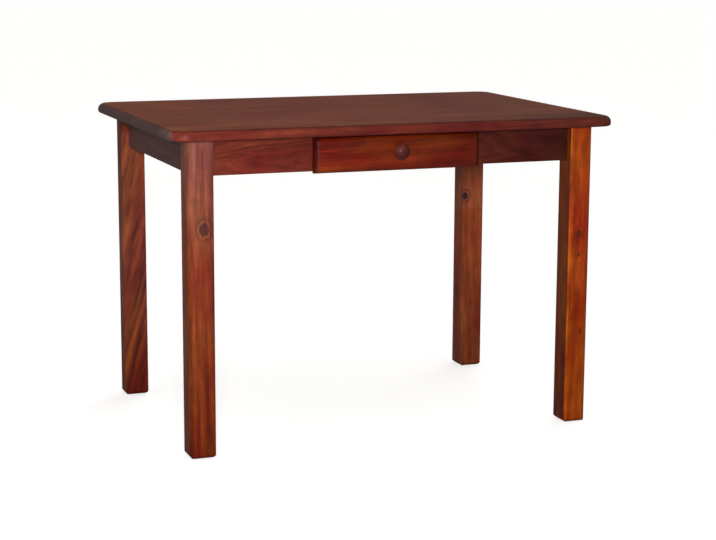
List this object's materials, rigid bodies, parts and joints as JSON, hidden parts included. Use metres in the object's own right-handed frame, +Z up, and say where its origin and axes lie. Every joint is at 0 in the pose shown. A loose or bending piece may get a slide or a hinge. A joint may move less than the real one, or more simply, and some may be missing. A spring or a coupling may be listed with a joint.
{
  "type": "dining table with drawer",
  "caption": "Plain rectangular dining table in mahogany-stained pine, with straight square legs, a rounded top edge and a shallow drawer with a turned knob in its front apron.",
  "frame": {"origin": "on the floor under the middle of the top", "axes": "+X along the table, -Y towards the person who faces the drawer, +Z up"},
  "size_m": [1.1, 0.75, 0.755],
  "materials": {
    "stained_top": "satin lacquer over mahogany stain",
    "stained_legs": "satin lacquer over mahogany stain",
    "stained_aprons": "satin lacquer over mahogany stain",
    "stained_drawer": "satin lacquer over mahogany stain",
    "stained_knob": "satin lacquer over mahogany stain",
    "bare_pine": "planed and bare",
    "beech": "planed and bare",
    "plywood": "sanded and bare",
    "zinc_steel": "zinc plated"
  },
  "bodies": {
    "table": {"top_board_1": "stained_top", "top_board_2": "stained_top", "top_board_3": "stained_top", "top_board_4": "stained_top", "top_board_5": "stained_top", "top_board_6": "stained_top", "leg_front_left": "stained_legs", "brace_front_left": "bare_pine", "leg_front_right": "stained_legs", "brace_front_right": "bare_pine", "leg_back_right": "stained_legs", "brace_back_right": "bare_pine", "leg_back_left": "stained_legs", "brace_back_left": "bare_pine", "apron_front": "stained_aprons", "apron_back": "stained_aprons", "apron_left": "stained_aprons", "apron_right": "stained_aprons", "guide_left": "bare_pine", "runner_left": "beech", "kicker_left": "bare_pine", "guide_right": "bare_pine", "runner_right": "beech", "kicker_right": "bare_pine", "top_screws": "zinc_steel"},
    "drawer": {"drawer_front": "stained_drawer", "drawer_side_left": "bare_pine", "drawer_side_right": "bare_pine", "drawer_back": "bare_pine", "drawer_bottom": "plywood", "drawer_knob": "stained_knob", "knob_screw": "zinc_steel"}
  },
  "joints": [
    {"name": "drawer_slide", "type": "slide", "parent": "table", "child": "drawer", "axis": [0, -1, 0], "range_m": [0, 0.36]}
  ]
}
